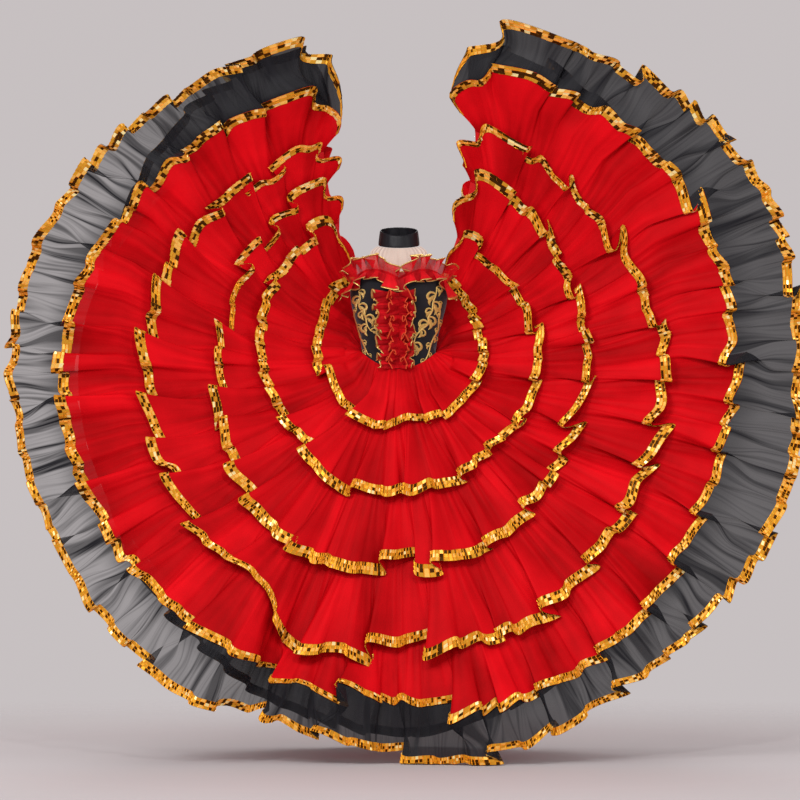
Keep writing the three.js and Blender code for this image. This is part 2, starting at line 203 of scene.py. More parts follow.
FRONT = table("""
    angle t1  t2  t3  t4  t5   flounce inner middle outer
    -163  275 440 555 645 780  940     135   110    35
    -145  272 428 525 645 820  960     112   85     0
    -120  252 427 510 700 877  1044    76    40     -35
    -95   248 408 515 730 958  1100    20    -20    -80
    -65   222 392 565 745 982  1112    -52   -90    -170
    -42   228 392 615 770 971  1130    -88   -160   -270
    -29   236 432 642 775 970  1132    -100  -205   -345
    -22   234 425 640 885 972  1090    -104  -185   -265
    -11   228 417 635 868 978  1100    -108  -200   -325
    0     209 407 600 832 982  1135    -112  -185   -268
    11    200 403 620 845 1030 1172    -111  -198   -325
    22    225 412 615 862 1038 1150    -106  -178   -272
    45    232 390 580 809 1013 1146    -85   -150   -255
    65    245 407 548 785 970  1178    -48   -95    -155
    90    255 413 555 764 962  1146    10    -30    -95
    115   250 400 540 712 958  1146    68    30     -45
    140   258 378 566 690 908  1052    106   80     5
    163   275 400 560 700 850  965     135   110    35""")
BACK = table("""
    angle t1  t2  t3  t4  t5   flounce inner middle outer
    0     290 455 625 800 985  1125    140   250    370
    45    262 410 565 725 890  1010    146   236    325
    90    235 365 505 640 780  890     152   212    240
    135   256 385 530 665 810  925     152   176    140
    163   275 415 560 675 815  950     137.6 112.6  37.6""", mirrored=True)
SIDES = {"front": (FRONT, -1), "back": (BACK, 1)}


def read(lines, name, place):
    """A column of a table, read smoothly between its rows."""
    x, y = lines["angle"], lines[name]
    place = np.clip(place, x[0], x[-1])
    i = np.clip(np.searchsorted(x, place, side="right") - 1, 0, len(x) - 2)
    step, rise, slope = x[i + 1] - x[i], y[i + 1] - y[i], np.gradient(y, x)
    t = (place - x[i]) / step
    first, second = slope[i] * step - rise, rise - slope[i + 1] * step
    return y[i] + t * rise + t * (1 - t) * ((1 - t) * first + t * second)


def eased(value, low, high):
    t = np.clip((value - low) / (high - low), 0, 1)
    return t * t * (3 - 2 * t)


def ring(turn, width, depth, z):
    """A ring round the torso: the turn runs from the front (0) to the back (180)."""
    turn = np.radians(turn)
    return np.stack(np.broadcast_arrays(width * np.sin(turn), -depth * np.cos(turn), z), -1)


def waist_height(turn):
    """The waist seam, which dips to a point in front."""
    return WAIST_HEIGHT - WAIST_DIP * np.maximum(np.cos(np.radians(turn)), 0) ** 2


def disc(side, angle, r):
    """A point of the fan's smooth form, whose depth is a curve through three distances from its centre."""
    lines = SIDES[side][0]
    a, b, c = (read(lines, name, angle) for name in ("inner", "middle", "outer"))
    depth = (a * (r - MIDDLE) * (r - OUTER) / ((INNER - MIDDLE) * (INNER - OUTER))
             + b * (r - INNER) * (r - OUTER) / ((MIDDLE - INNER) * (MIDDLE - OUTER))
             + c * (r - INNER) * (r - MIDDLE) / ((OUTER - INNER) * (OUTER - MIDDLE)))
    rib = RIB_NEAR + RIB_MORE * np.clip((r - RIB_FROM) / RIB_OVER, 0, 1)
    turned = np.radians(angle * rib / RIB)
    return np.stack([r * np.sin(turned), depth, FAN_CENTRE_Z - r * np.cos(turned)], -1)


def satin(side, angle, r):
    """A point of the satin at an angle of the fan (0 is straight down) and a distance from its centre."""
    angle, r = np.broadcast_arrays(np.asarray(angle, float), np.asarray(r, float))
    on_waist = angle * RIB_ON_WAIST / RIB
    if side == "back":
        on_waist = 180 - angle * (180 - RIB_ON_WAIST) / RIB
    out = SEAM_OUT + PLY * eased(np.abs(on_waist), *PLY_TURNS) + (PLY if side == "back" else 0)
    seam = ring(on_waist, WAIST_WIDTH + out, WAIST_DEPTH + out, waist_height(on_waist))
    far = disc(side, angle, np.maximum(r, INNER))
    near = seam + (disc(side, angle, np.full(r.shape, INNER)) - seam) * (r / INNER)[..., None]
    return np.where((r >= INNER)[..., None], far, near)


def facing(side, angle, r):
    """Which way the satin faces, outward: read from points on either side of the place."""
    turn, step = 3, 0.012
    across = satin(side, angle + turn, r) - satin(side, angle - turn, r)
    down = satin(side, angle, r + step) - satin(side, angle, np.maximum(r - step, 0))
    n = np.cross(across, down)
    n /= np.linalg.norm(n, axis=-1, keepdims=True)
    n = n * np.where(n[..., 1:2] * SIDES[side][1] < 0, -1, 1)
    if side == "back":
        out = ring(180 - angle * (180 - RIB_ON_WAIST) / RIB, 1, 1, 0)
        n = out + (n - out) * eased(np.broadcast_to(r, n.shape[:-1]), 0, INNER)[..., None]
        n /= np.linalg.norm(n, axis=-1, keepdims=True)
    return n


def wander(place, spacing, seed):
    """Smooth noise along a length, about from -1 to 1: four waves, each weaker and shorter than the last."""
    weaker, shorter, whole = 0.62, 0.61, 1.9
    dice = np.random.default_rng(seed)
    total = np.zeros_like(place, dtype=float)
    for k in range(4):
        total += weaker ** k * np.sin(2 * math.pi * place / (spacing * shorter ** k) + dice.uniform(0, 6.3))
    return total / whole


def flat_grid(across, along):
    """A flat sheet of square cells, whose vertices the caller then moves."""
    sheet = bmesh.new()
    bmesh.ops.create_grid(sheet, x_segments=across, y_segments=along, size=0.5)
    places = np.array([vert.co[:2] for vert in sheet.verts]) + 0.5
    return sheet, places[:, 0], places[:, 1]


def shown(name, sheet, finish, node=None, flats=None, kept=None, smooth=True):
    """Makes the object of a piece, with its finish, its flat coordinates in metres and its kept values."""
    data = bpy.data.meshes.new(name)
    sheet.to_mesh(data)
    sheet.free()
    data.materials.append(finish.material)
    if flats is not None:
        corners = np.zeros(len(data.loops), dtype=np.int32)
        data.loops.foreach_get("vertex_index", corners)
        layer = data.uv_layers.new(name="cloth")
        layer.data.foreach_set("uv", np.stack(flats, -1)[corners].ravel().astype(np.float32))
    for key, values in (kept or {}).items():
        data.attributes.new(key, "FLOAT", "POINT").data.foreach_set("value", np.asarray(values, np.float32))
    data.polygons.foreach_set("use_smooth", [smooth] * len(data.polygons))
    piece = bpy.data.objects.new(name, data)
    bpy.context.collection.objects.link(piece)
    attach(piece, "root")
    if node:
        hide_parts(node)
    return piece


def moved(sheet, points):
    for vert, point in zip(sheet.verts, points):
        vert.co = point


satin_finish = Finish("red satin", {"Roughness": 0.36, "Sheen Weight": 0.12, "Sheen Roughness": 0.3,
                                    "Sheen Tint": (1, 0.1, 0.1, 1), "Specular Tint": (1, 0.3, 0.3, 1)})
satin_drift = satin_finish.noise(satin_finish.on_cloth(5.0, 1.2), 1.0, 3.0)
satin_finish.feed("Base Color", satin_finish.mixed(
    satin_drift, (0.50, 0.001, 0.004, 1), (0.76, 0.006, 0.012, 1)))
satin_weave = satin_finish.noise(satin_finish.on_cloth(900, 260), 1.0, 1.0)
satin_finish.raised(satin_weave * 0.15 + satin_finish.noise(satin_finish.on_cloth(26, 3), 1.0) * 3.0, 0.0012)
satin_finish.feed("Roughness", satin_drift * 0.14 + 0.28)

for side in SIDES:
    sheet, u, v = flat_grid(320, 34)
    angle = (2 * u - 1) * RIB
    foot = read(SIDES[side][0], "t5", angle) - SATIN_SHORT - SATIN_SHORTER * eased(-angle, *SHORTER_FROM)
    r = foot * (1 - v)
    # the folds only go inward, so that none comes through the tiers
    fold = -FOLD_DEEP * (1.1 + wander(u * SATIN_WIDE, FOLD_WIDE, 11)) * (r / FOLD_FULL)
    fold = fold * eased(RIB - np.abs(angle), 0, FOLD_STOPS)
    points = satin(side, angle, r) + facing(side, angle, r) * fold[:, None]
    moved(sheet, points)
    piece = shown(f"satin_underskirt_{side}", sheet, satin_finish, f"base_{side}",
                  flats=(u * SATIN_WIDE, (1 - v) * SATIN_LONG))
    # its gores laid flat together make a sector of a circle, from the waist to the hem
    radius = float(np.mean(read(SIDES[side][0], "t5", np.linspace(-RIB, RIB, 200)))) - SATIN_SHORT

# Organza tiers
# Five strips of sheer red organza in each half, gathered into a seam line on the satin. Each hem
# hangs over the top of the next tier, flutes in and out, and in places doubles back on itself. A flounce
# of black organza is sewn behind the hem of the fifth.

# For each: its hem's column in the tables, how far it stands off the satin, how deep its flutes go in and
# out and up and down, how long one flute is, and its cells round the hem and up to the seam.
TIERS = {
    "tier_1": ("t1", 0.024, 0.012, 0.007, 0.078, 700, 14),
    "tier_2": ("t2", 0.030, 0.015, 0.009, 0.094, 900, 14),
    "tier_3": ("t3", 0.030, 0.018, 0.012, 0.112, 1300, 15),
    "tier_4": ("t4", 0.030, 0.020, 0.014, 0.124, 1600, 17),
    "tier_5": ("t5", 0.034, 0.021, 0.014, 0.128, 1700, 18),
    "flounce": ("flounce", 0.028, 0.024, 0.013, 0.156, 1700, 20),
}
ON_SATIN = 0.0021
UNDER_BRAID = 0.0032
FLOUNCE_TOP = 0.062                 # the black flounce starts this far above the hem of the fifth tier
FLOUNCE_JOIN = -0.01, 0.11          # and leaves the fifth tier between these distances past its hem
PLEAT = 0.034                       # half the width of a fold that doubles back
PLEAT_OUT, PLEAT_CALMS = 0.026, 0.7 # how far such a fold stands out, and how it calms the flutes beside it
PLEAT_STEP = 0.00116                # brings a fold's step to the millimetres stated for it
BACK_LONGER = 1.3                   # the flutes behind are longer by this factor
MEAN_STRONG, VARIED, END_STRONG = 0.62, 0.34, 0.6
DRIFT, DRIFT_OVER = 1.3, 3.6        # how far the flutes run out of step, over this many flutes
VARIED_OVER, SLANT_OVER, DROP_OVER = 4.5, 6, 2.3
END_ANGLES = 136, 156               # the flutes grow stronger between these angles
FADE_UP, FLOUNCE_FADE, FLOUNCE_STILL = 1.25, 1.1, 0.2
CURLED = 0.8                        # how far a flute's sides curl under it
DROP_VARIED = 0.45
LOBE_FROM = 151                     # each strip ends in a lobe past this angle
LOBE_CUT, LOBE_POWER = 0.95, 2.6
LOBE_SPILL = {"front": 14, "back": 6}
GATHER_WIDE, GATHER_DEEP = 0.031, 0.0013
SWELL_WIDE, SWELL_DEEP = 0.34, 0.007
FLATTER, FLATTER_FROM = 0.45, (95, 135)  # the first tier lies flatter past these angles

# Where a hem doubles back strongly: the angle round the fan, how strongly, and how far it steps out, in mm.
DOUBLED = {
    "tier_1": [(-78, 1.0, -12), (-35, 1.2, 16), (22, 1.1, -14), (38, 0.9, 10), (72, 1.0, -12)],
    "tier_2": [(-124, 1.0, -20), (-102, 1.0, 14), (-62, 0.8, 12), (-44, 1.3, 30), (-20, 0.8, -14),
               (4, 1.1, 16), (28, 1.0, -18), (62, 1.2, -22), (82, 1.0, -16), (104, 1.2, -24), (126, 1.1, 22)],
    "tier_3": [(-140, 1.2, -30), (-132, 1.3, 28), (-123, 1.2, -40), (-100, 1.5, 50), (-80, 1.2, 32),
               (-70, 1.3, -32), (-56, 1.1, 22), (-46, 1.1, 22), (-30, 0.9, 16), (-5, 1.1, -22), (5, 1.1, 38),
               (11, 1.2, -24), (25, 0.9, -16), (40, 1.0, -18), (69, 1.5, -50), (84, 1.1, -20),
               (112, 1.2, -30), (134, 1.2, -26)],
    "tier_4": [(-140, 1.3, 34), (-129, 1.3, -40), (-118, 1.4, 40), (-106, 1.5, 46), (-93, 1.4, 42),
               (-79, 1.5, 50), (-69, 1.3, 36), (-60, 1.5, 42), (-49, 1.4, 42), (-37, 1.1, 26), (-17, 1.2, 22),
               (-6, 1.2, -56), (7, 1.4, 50),
               (19, 0.9, -14), (30, 1.4, -40), (42, 1.0, -20), (54, 1.1, -22), (65, 1.4, -42), (74, 1.1, -62),
               (84, 1.2, 30), (96, 1.0, -18), (118, 1.5, -50), (136, 1.2, -30)],
    "tier_5": [(-140, 1.1, 30), (-131, 1.2, -26), (-122, 1.0, 18), (-108, 0.9, -14), (-94, 1.0, -18),
               (-81, 1.2, 26), (-66, 1.1, 22), (-50, 1.0, 18), (-36, 1.0, 16), (-21, 1.4, 40),
               (-9.5, 1.3, -52), (9.5, 1.3, 46), (22, 0.9, -14),
               (34, 1.0, -20), (44, 1.2, -26), (52, 1.3, -32), (61, 1.3, -32), (72, 1.0, -18), (88, 1.6, -62),
               (101, 1.0, 18), (116, 1.5, -42), (132, 1.1, 22)],
    "flounce": [(-120, 1.0, 14), (-90, 1.0, -14), (-60, 1.0, 12), (-38, 1.1, 20), (-20, 1.3, 34),
                (-12, 1.2, -26), (1, 1.2, 26), (13, 1.3, -30), (22, 1.3, 28), (33, 1.3, -34),
                (47, 1.2, -26), (63, 1.2, -22),
                (80, 1.1, 22), (98, 1.2, -26), (122, 1.2, 26), (138, 1.2, -26)],
}
# The same at both ends of every hem but the first, where the cloth is bunched at the ribs.
BUNCHED = [(-157, 1.3, 30), (-149, 1.2, -26), (149, 1.2, 26), (157, 1.3, -30)]


def along_hem(side, hem):
    """Angles at equal steps along a hem, and the hem's length."""
    angle = np.linspace(-RIB, RIB, 2400)
    reach = read(SIDES[side][0], hem, angle)
    length = np.concatenate([[0], np.cumsum(np.radians(np.diff(angle)) * (reach[1:] + reach[:-1]) / 2)])
    return angle, length


def seam_above(side, tier, angle):
    """How far from the fan's centre the strip of a tier starts."""
    lines, number = SIDES[side][0], list(TIERS).index(tier)
    if tier == "flounce":
        return read(lines, "t5", angle) - FLOUNCE_TOP
    return read(lines, f"t{number}", angle) - LAP if number else np.zeros_like(angle)


def ruffled(side, tier, u, v):
    """A point of a tier, where u runs round the hem and v from hem (0) to seam (1). Also how far its flutes,
    gathers and swells stand out, which the organza's colour uses as painted shade.
    """
    hem, stand, deep, step, flute, _, _ = TIERS[tier]
    known, length = along_hem(side, hem)
    place = np.clip(u, 0, 1) * length[-1]
    angle = np.interp(place, length, known)
    seed = 31 + 7 * list(TIERS).index(tier) + (100 if side == "back" else 0)
    if side == "back":
        flute *= BACK_LONGER
    below, above = read(SIDES[side][0], hem, angle), seam_above(side, tier, angle)
    phase = 2 * math.pi * place / flute + DRIFT * wander(place, DRIFT_OVER * flute, seed)
    strong = MEAN_STRONG + VARIED * wander(place, VARIED_OVER * flute, seed + 1)
    strong = strong + END_STRONG * eased(np.abs(angle), *END_ANGLES)
    pleat, swing = np.zeros_like(angle), np.zeros_like(angle)
    for at, size, out in DOUBLED[tier] + BUNCHED * (tier != "tier_1") if side == "front" else []:
        aside = np.radians(angle - at) * below / PLEAT
        strong = strong * (1 - PLEAT_CALMS * np.exp(-(aside / 1.5) ** 2))
        pleat += size * aside * np.exp(-aside ** 2)
        swing += PLEAT_STEP * out * aside * np.exp(-aside ** 2)
    strong = np.clip(strong, 0.1, 1.5)
    slant = np.clip(1.5 * wander(place, SLANT_OVER * flute, seed + 5), -1, 1)
    free = np.maximum(1 - v, 0) ** FADE_UP
    if tier == "flounce":
        free = np.clip((1 - v - FLOUNCE_STILL) / (1 - FLOUNCE_STILL), 0, 1) ** FLOUNCE_FADE
    curl = (CURLED * flute / (2 * math.pi) * np.sin(2 * phase) * strong - 2.0 * PLEAT * pleat) * free
    steps = slant * np.sin(2 * phase) + (1 - np.abs(slant)) * np.cos(phase)
    drop = (step * (steps * strong + DROP_VARIED * wander(place, DROP_OVER * flute, seed + 2)) + swing) * free
    # each strip ends in a rounded lobe that hangs past the rib, and its hem runs round the lobe
    end = np.clip((np.abs(angle) - LOBE_FROM) / (RIB - LOBE_FROM), 0, 1)
    rounded = np.sqrt(1 - LOBE_CUT * end ** LOBE_POWER)
    spill = np.sign(angle) * LOBE_SPILL[side] * end ** 1.5 * rounded * free
    turned = angle + np.degrees(curl / below) + spill
    r = above + (below - above) * rounded * (1 - v) + drop * rounded
    near_seam = np.sin(2 * math.pi * place / GATHER_WIDE + 2.2 * wander(place, 0.11, seed + 3))
    gather = GATHER_DEEP * near_seam * np.clip(v * 8, 0, 1) * np.minimum((1 - v) * 6, 1) * (0.4 + 0.6 * v)
    wave = np.cos(phase) * strong
    broad = wander(place, SWELL_WIDE, seed + 4) * np.clip((1 - v) * 3, 0, 1)
    away = ON_SATIN + stand * np.maximum(1 - v, 0) ** 1.1 + (deep * wave + PLEAT_OUT * pleat) * free + gather
    away += SWELL_DEEP * broad
    away = np.maximum(away, ON_SATIN)
    if side == "front" and tier == "tier_1":
        away *= 1 - FLATTER * eased(np.abs(angle), *FLATTER_FROM)
    points = satin(side, turned, r) + facing(side, turned, r) * away[:, None]
    if tier == "flounce":
        # its top lies close behind the hem of the fifth tier, and follows it
        over, hem_over = seam_above(side, "tier_5", angle), read(SIDES[side][0], "t5", angle)
        other_known, other_length = along_hem(side, "t5")
        same_u = np.interp(angle, other_known, other_length) / other_length[-1]
        same_v = np.clip((hem_over - r) / (hem_over - over), 0, 1)
        close = ruffled(side, "tier_5", same_u, same_v)[0] - facing(side, angle, r) * UNDER_BRAID
        beyond = np.maximum(r - hem_over, 0)
        close += (satin(side, angle, r) - satin(side, angle, np.minimum(r, hem_over))) * (beyond > 0)[:, None]
        share = eased(r - hem_over, *FLOUNCE_JOIN)[:, None]
        points = close * (1 - share) + points * share
    points[:, 2] = np.maximum(points[:, 2], FLOOR_Z + OVER_FLOOR)
    # the second value is painted shade: the organza's colour is lighter where flutes, gathers and swells
    # stand out and darker in their hollows
    return points, wave * free + 0.35 * near_seam * v + 0.9 * broad


organza_finish = Finish("red organza", {"Roughness": 0.5, "Sheen Weight": 0.08, "Sheen Roughness": 0.35,
                                        "Sheen Tint": (1, 0.05, 0.05, 1), "Specular IOR Level": 0.15,
                                        "Specular Tint": (1, 0.2, 0.2, 1)})
organza_streak = organza_finish.noise(organza_finish.on_cloth(46, 3.0), 1.0, 3.0)
organza_cloud = organza_finish.noise(organza_finish.on_cloth(6, 7), 1.0, 4.0)
# The base colour is partly random tone (streak and cloud noise) and partly painted shade from the kept flute
# value: darker in the hollows of flutes, gathers and swells, lighter on their crests.
organza_flute_shade = organza_finish.kept("flute")
organza_tone_and_flute_shade = (organza_streak * 0.4 + organza_cloud * 1.0 + organza_flute_shade * 0.3 - 0.18).held()
organza_finish.feed("Base Color", organza_finish.mixed(
    organza_tone_and_flute_shade, (0.24, 0.0002, 0.001, 1), (0.70, 0.003, 0.008, 1)))
organza_finish.feed("Alpha", organza_finish.kept("cover"))
organza_finish.raised(organza_streak + organza_cloud, 0.0022, 0.8)

black_finish = Finish("black organza", {"Roughness": 0.5, "Specular IOR Level": 0.12})
black_streak = black_finish.noise(black_finish.on_cloth(95, 2.6), 1.0, 3.0)
black_finish.feed("Base Color", black_finish.mixed(
    black_streak, (0.003, 0.003, 0.004, 1), (0.014, 0.013, 0.017, 1)))
black_dense = black_finish.kept("cover")
black_band = black_finish.noise(black_finish.on_cloth(24, 2.0), 1.0, 2.0)
black_threads = (black_streak * 5.0 - 2.4).held() * 0.45 + (black_band * 9.0 - 4.4).held() * 0.7
black_finish.feed("Alpha", (black_dense + (1 - black_dense) * black_threads).held())
black_finish.raised(black_streak, 0.003, 0.8)

# How closely the black flounce is woven to the eye, by angle: it is thin on the right and doubled below.
DENSE = {"angle": np.array([-163, -148, -135, -118, -95, -50, -32, -20, 0, 20, 45, 75, 110, 163.]),
         "cover": np.array([.93, .90, .72, .42, .36, .38, .56, .80, .86, .84, .80, .79, .86, .93])}


def cell_counts(side, across, along):
    """The calmer back needs fewer cells."""
    return (across, along) if side == "front" else (across // 2, along - 3)


def row_length(points):
    """The developed length of a row of a made sheet."""
    return float(np.linalg.norm(np.diff(points, axis=0), axis=1).sum())


def flared_cut(hem_row, seam_row, tall):
    """The cut of a strip whose hem is longer than its seam: hem length, height and flat area."""
    around = row_length(hem_row)
    return around, {"flat": (around, tall), "area": (around + row_length(seam_row)) / 2 * tall}


BLACK_BEHIND = 0.8
SEAM_DENSE, SEAM_SHARE = 0.97, 0.6  # the gathers near the seam of the flounce lie closer
EDGE_THINNER = 0.07                 # the fifth tier's hem shows the light past the shorter satin

tier_pieces = {}
for side in SIDES:
    for tier, (hem, *_, across, along) in TIERS.items():
        black = tier == "flounce"
        across, along = cell_counts(side, across, along)
        sheet, u, v = flat_grid(across, along)
        # flute is the painted-shade value that the red organza's colour reads
        points, flute = ruffled(side, tier, u, v)
        moved(sheet, points)
        known, length = along_hem(side, hem)
        along_row = np.linspace(0, 1, across + 1)
        hem_row = ruffled(side, tier, along_row, 0 * along_row)[0]
        seam_row = ruffled(side, tier, along_row, 0 * along_row + 1)[0]
        angle = np.interp(u * length[-1], length, known)
        lines = SIDES[side][0]
        tall = float(np.mean(read(lines, hem, known) - seam_above(side, tier, known)))
        around, cut = flared_cut(hem_row, seam_row, float(np.linalg.norm(hem_row - seam_row, axis=1).mean()))
        cover = np.ones_like(u)
        if black:
            if side == "front":
                cover = np.interp(angle, DENSE["angle"], DENSE["cover"])
            else:
                cover = BLACK_BEHIND * cover
            cover = cover + (SEAM_DENSE - cover) * SEAM_SHARE * eased(v, 0.4, 0.85)
        elif tier == "tier_5":
            cover = 1 - EDGE_THINNER * eased(1 - v, 0.62, 0.74) * eased(-angle, *SHORTER_FROM)
        finish = black_finish if black else organza_finish
        piece = shown(f"{'black_flounce' if black else 'organza_' + tier}_{side}", sheet, finish,
                      f"{tier}_{side}", flats=(u * around, v * tall), kept={"flute": flute, "cover": cover})
        tier_pieces[tier, side] = (piece, around, tall, cut)

# Gold sequin braids
# A foil braid about 25 mm wide, stamped with three rows of small squares, sewn on every hem. Each square
# sits at its own small tilt. Its colour also carries painted light: about a third of the squares are
# painted dark as painted shade, and a few are painted pale as a painted glint.
BRAID_WIDTH = 0.025
SEQUIN, BACK_SEQUIN = 0.0083, 1.7   # the length of a square, and how much longer it is behind
ON_HEM = 0.0024
THREAD_GAP = 0.0024
SEQUIN_HIGH, SEQUIN_TILT = 0.0007, 0.00042
# painted shine levels of the squares and their shares: level 0 is painted shade, level 1 a pale painted glint
PAINTED_SHINES, SHARES = [0.0, 0.35, 0.6, 1.0], [0.33, 0.30, 0.28, 0.09]

braid_finish = Finish("gold sequin braid", {"Metallic": 0.4, "Specular IOR Level": 0.3,
                                            "Specular Tint": (1, 0.66, 0.2, 1)})
braid_painted_shade_and_glint = braid_finish.kept("painted_shade_and_glint")
braid_thread = braid_finish.kept("thread")
braid_grain = braid_finish.noise(braid_finish.node("TexCoord", {}, {}, out=3), 260.0)
# Painted shade and glint: each square's level takes its colour from dark brown (0) through gold (0.5) to a
# pale painted glint (1).
squares = braid_finish.mixed((braid_painted_shade_and_glint * 2.0).held(), (0.05, 0.014, 0.002, 1), (0.95, 0.46, 0.04, 1))
squares = braid_finish.mixed((braid_painted_shade_and_glint * 2.0 - 1.0).held(), squares, (1.0, 0.85, 0.40, 1))
foil = braid_finish.mixed(braid_grain, (0.56, 0.20, 0.008, 1), (0.95, 0.44, 0.03, 1))
braid_finish.feed("Base Color", braid_finish.mixed((braid_thread * 5.0).held(), squares, foil))
braid_finish.feed("Roughness", braid_thread * 0.12 + 0.3)
braid_finish.raised(braid_grain, 0.0004, 0.5)

dice = np.random.default_rng(5)
for side in SIDES:
    for number, tier in enumerate(TIERS):
        piece, around, tall, cut = tier_pieces[tier, side]
        cells = int(around / (SEQUIN if side == "front" else SEQUIN * BACK_SEQUIN))
        sheet, u, w = flat_grid(cells, 3)
        v = w * BRAID_WIDTH / tall
        here = ruffled(side, tier, u, v)[0]
        du, dv = 0.25 / cells, 0.1 * BRAID_WIDTH / tall
        across = ruffled(side, tier, u + du, v)[0] - ruffled(side, tier, u - du, v)[0]
        up = ruffled(side, tier, u, v + dv)[0] - ruffled(side, tier, u, v - dv)[0]
        n = np.cross(across, up)
        n /= np.linalg.norm(n, axis=-1, keepdims=True)
        if (n * facing(side, np.zeros(1), np.full(1, 0.5))).sum(axis=-1).mean() < 0:
            n = -n
        moved(sheet, here + n * ON_HEM)
        painted_shade_and_glint_of = sheet.verts.layers.float.new("painted_shade_and_glint")
        thread_of = sheet.verts.layers.float.new("thread")
        for vert in sheet.verts:
            vert[thread_of] = 1.0
        sequins = list(sheet.faces)
        sequins[0].normal_update()
        outward = 1 if sequins[0].normal.dot(n[sequins[0].verts[0].index]) > 0 else -1
        bmesh.ops.inset_individual(sheet, faces=sequins, thickness=THREAD_GAP, depth=0.0)
        for face in sequins:
            face.normal_update()
            # each square draws one painted shine level: painted shade, plain gold, or a painted glint
            square_painted_shine = dice.choice(PAINTED_SHINES, p=SHARES)
            lean = dice.normal(0, SEQUIN_TILT, 2)
            for corner, vert in enumerate(face.verts):
                tip = lean[0] * (1 if corner in (0, 1) else -1) + lean[1] * (1 if corner in (1, 2) else -1)
                vert.co += face.normal * (SEQUIN_HIGH + tip) * outward
                vert[painted_shade_and_glint_of], vert[thread_of] = square_painted_shine, 0.0
        braid = shown(f"gold_braid_{number + 1}_{side}", sheet, braid_finish,
                      f"trim_{number + 1}_{side}", smooth=False)

# Velvet bodice
# Two fronts and a back of black velvet, close to the body, with a seam down each side and at the middle
# of the front. The neckline is a sweetheart, and the foot is sewn over the top of the skirt.
BODICE = {key: np.array(values) * 0.001 for key, values in {
    "angle": (-60, 0, 40, 100, 160, 200, 240, 280), "width": (105, 105, 105, 118, 134, 139, 136, 130),
    "front": (85, 85, 88, 98, 112, 118, 112, 102), "back": (85, 85, 85, 88, 95, 98, 98, 96)}.items()}
CUP_HEIGHT, CUP_TALL, CUP_AT, CUP_WIDE, CUP_FULL = 0.185, 0.048, 30, 17, 0.013
BODICE_TUCK = 0.006
NECKLINE_FRONT, NECKLINE_SIDE, CUP_RISE = 0.238, 0.232, 0.028
CREASE_DEEP, SEAM_DEEP, DART_DEEP = 0.0011, 0.0012, 0.0014
DART_AT, DART_LEANS = 34, 40        # a dart's turn at its foot, and how many degrees it leans in a metre
VELVET_WALL = 0.0016
VELVET_CELL, VELVET_TALL = 0.0062, 0.25


def bodice_point(turn, z):
    cup = CUP_FULL * np.exp(-((z - CUP_HEIGHT) / CUP_TALL) ** 2 - ((np.abs(turn) - CUP_AT) / CUP_WIDE) ** 2)
    side = eased(np.abs(turn), 80, 100)
    depth = read(BODICE, "front", z) * (1 - side) + read(BODICE, "back", z) * side + cup
    return ring(turn, read(BODICE, "width", z), depth, z)


def bodice_facing(turn, z):
    across = bodice_point(turn + 2, z) - bodice_point(turn - 2, z)
    n = np.cross(across, bodice_point(turn, z + 0.004) - bodice_point(turn, z - 0.004))
    n /= np.linalg.norm(n, axis=-1, keepdims=True)
    return n * np.where((n * ring(turn, 1, 1, 0)).sum(-1, keepdims=True) < 0, -1, 1)


def neckline(turn):
    """The height of the velvet's upper edge, which rises over each cup."""
    turn = np.abs(turn)
    rise = CUP_RISE * np.sin(math.pi * np.minimum(turn / 70, 1)) ** 0.8
    front = NECKLINE_FRONT + (NECKLINE_SIDE - NECKLINE_FRONT) * turn / 90 + rise
    return np.where(turn > 90, NECKLINE_SIDE, front)


velvet_finish = Finish("black velvet", {"Roughness": 0.85, "Sheen Weight": 0.55, "Sheen Roughness": 0.35,
                                        "Sheen Tint": (0.55, 0.55, 0.62, 1), "Specular IOR Level": 0.2})
velvet_nap = velvet_finish.noise(velvet_finish.on_cloth(14, 14), 1.0, 4.0)
velvet_finish.feed("Base Color", velvet_finish.mixed(
    velvet_nap, (0.003, 0.003, 0.0035, 1), (0.02, 0.019, 0.024, 1)))
velvet_finish.raised(velvet_finish.noise(velvet_finish.on_cloth(900, 900), 1.0), 0.0006, 0.6)

for name, start, end, across in (("bodice_front_right", -90, 0, 70), ("bodice_front_left", 0, 90, 70),
                                 ("bodice_back", 90, 270, 110)):
    sheet, u, v = flat_grid(across, 56)
    turn = start + (end - start) * (0.0014 + 0.9972 * u)
    turn = np.where(turn > 180, turn - 360, turn)
    low, high = waist_height(turn) - BODICE_TUCK, neckline(turn)
    z = low + (high - low) * v
    crease = CREASE_DEEP * wander(z + np.abs(turn) * 0.0012, 0.05, 3) * np.exp(-((z - 0.06) / 0.06) ** 2)
    seam_dip = SEAM_DEEP * np.exp(-((np.minimum(u, 1 - u) * across) / 1.6) ** 2)
    beside = (np.abs(turn) - DART_AT - DART_LEANS * (z - 0.05)) / 2.0
    dart = DART_DEEP * np.exp(-beside ** 2) * eased(0.19 - z, 0, 0.05)
    points = bodice_point(turn, z) + bodice_facing(turn, z) * (crease - seam_dip - dart)[:, None]
    moved(sheet, points)
    piece = shown(f"velvet_{name}", sheet, velvet_finish, name,
                  flats=(u * VELVET_CELL * across * 0.5, v * VELVET_TALL))
    wall = piece.modifiers.new("wall", "SOLIDIFY")
    wall.thickness, wall.offset = VELVET_WALL, 0.0
    # the rectangle that the panel is cut from: its widest row and its tallest column, to a centimetre
    (0.37, 0.21) if name == "bodice_back" else (0.21, 0.29)

# Gold scroll embroidery
# Stems with curled leaves and scrolls in flat gold thread, worked on the two velvet fronts.
# They are plain traditional scrolls, placed along one vine on each side.
embroidery_finish = Finish("gold thread", {"Roughness": 0.36, "Metallic": 0.6})
thread_run = embroidery_finish.node("TexWave", {"bands_direction": "X"}, {
    "Vector": embroidery_finish.on_cloth(1, 1), "Scale": 480.0, "Distortion": 1.5})
embroidery_finish.feed("Base Color", embroidery_finish.mixed(
    thread_run, (0.55, 0.34, 0.07, 1), (1.0, 0.76, 0.28, 1)))
embroidery_finish.raised(thread_run, 0.0005, 0.8)

